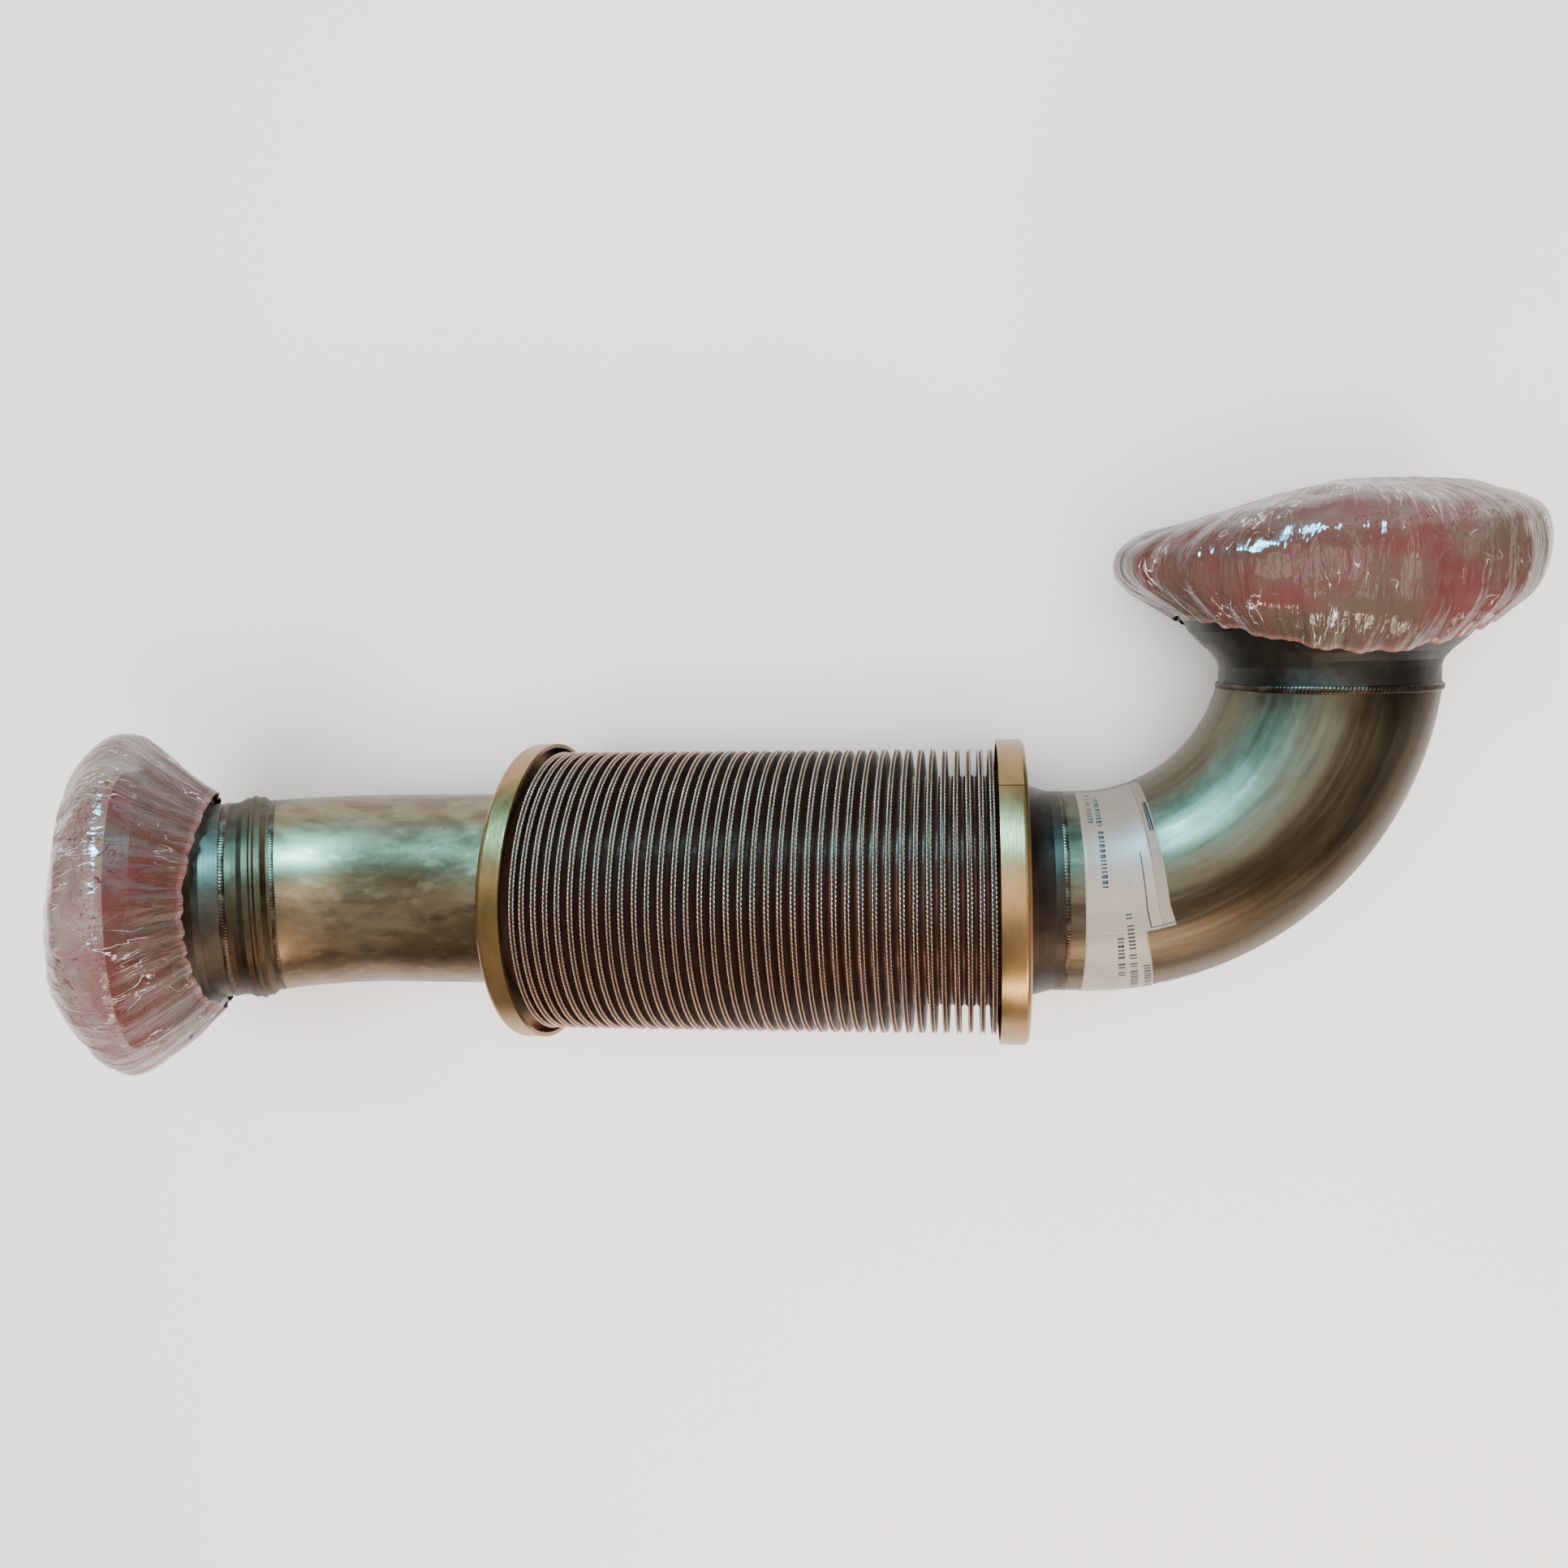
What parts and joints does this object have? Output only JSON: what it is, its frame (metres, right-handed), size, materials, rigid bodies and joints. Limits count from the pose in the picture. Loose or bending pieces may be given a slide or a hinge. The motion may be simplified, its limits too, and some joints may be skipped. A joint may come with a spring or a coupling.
{
  "type": "metal bellows expansion joint",
  "caption": "Flexible metal bellows joint between a bent inlet pipe and a 90 degree elbow, with flared clamp flanges at both ends wrapped in loose packing film.",
  "frame": {"origin": "centre of the outlet flange's sealing face", "axes": "+Y out of the outlet flange, +X along the bellows axis from the inlet end to the elbow, +Z away from the surface it lies on"},
  "size_m": [0.7604, 0.2835, 0.2045],
  "materials": {
    "heat_tinted_steel": "brushed, brown heat tint",
    "bellows_steel": "drawn, satin",
    "liner_steel": "satin",
    "knitted_wire": "knitted",
    "chromate_steel": "yellow chromate, satin",
    "dark_steel": "dark, cast and turned",
    "weld": "rippled, heat tinted",
    "paper_label": "matte",
    "film": "clear, crinkled"
  },
  "bodies": {
    "inlet_side": {"inlet_flange": "dark_steel", "inlet_flange_weld": "weld", "inlet_flare": "dark_steel", "inlet_seam_weld": "weld", "inlet_collar": "heat_tinted_steel", "inlet_collar_weld": "weld", "inlet_pipe": "heat_tinted_steel", "inlet_neck": "heat_tinted_steel", "inlet_end_ring": "chromate_steel", "inlet_liner": "liner_steel", "bellows_outer_ply": "bellows_steel", "bellows_inner_ply": "bellows_steel"},
    "inlet_guide": {"inlet_guide_ring": "knitted_wire"},
    "sleeve": {"floating_sleeve": "liner_steel"},
    "outlet_guide": {"outlet_guide_ring": "knitted_wire"},
    "outlet_side": {"outlet_liner": "liner_steel", "outlet_end_ring": "chromate_steel", "outlet_neck": "heat_tinted_steel", "outlet_neck_weld": "weld", "elbow": "heat_tinted_steel", "elbow_weld": "weld", "outlet_flare": "dark_steel", "outlet_flange_weld": "weld", "outlet_flange": "dark_steel", "label": "paper_label"},
    "inlet_film": {"inlet_film_wrap": "film"},
    "outlet_film": {"outlet_film_wrap": "film", "outlet_film_base": "film"}
  },
  "joints": [
    {"name": "inlet_guide_slide", "type": "slide", "parent": "inlet_side", "child": "inlet_guide", "axis": [1, 0, 0], "range_m": [-0.01, 0.006], "stiffness_N_per_m": 60000, "deforming": ["bellows_outer_ply", "bellows_inner_ply"]},
    {"name": "bend_in_plan", "type": "hinge", "parent": "inlet_guide", "child": "sleeve", "pos_m": [-0.30867, -0.149, 0], "axis": [0, 0, 1], "range_deg": [-8, 8], "stiffness_Nm_per_rad": 150, "deforming": ["bellows_outer_ply", "bellows_inner_ply"]},
    {"name": "bend_up_down", "type": "hinge", "parent": "sleeve", "child": "outlet_guide", "pos_m": [-0.25266, -0.149, 0], "axis": [0, 1, 0], "range_deg": [-8, 8], "stiffness_Nm_per_rad": 150, "deforming": ["bellows_outer_ply", "bellows_inner_ply"]},
    {"name": "axial_slide", "type": "slide", "parent": "outlet_guide", "child": "outlet_side", "axis": [1, 0, 0], "range_m": [-0.01, 0.006], "stiffness_N_per_m": 60000, "deforming": ["bellows_outer_ply", "bellows_inner_ply"]},
    {"name": "inlet_film_pull", "type": "slide", "parent": "inlet_side", "child": "inlet_film", "axis": [-0.866, 0, 0.5], "range_m": [0, 0.12], "deforming": ["inlet_film_wrap"]},
    {"name": "outlet_film_pull", "type": "slide", "parent": "outlet_side", "child": "outlet_film", "axis": [0, 1, 0], "range_m": [0, 0.12], "deforming": ["outlet_film_wrap", "outlet_film_base"]}
  ],
  "couplings": [
    {"joint": "inlet_guide_slide", "follows": "axial_slide", "ratio": 1}
  ]
}
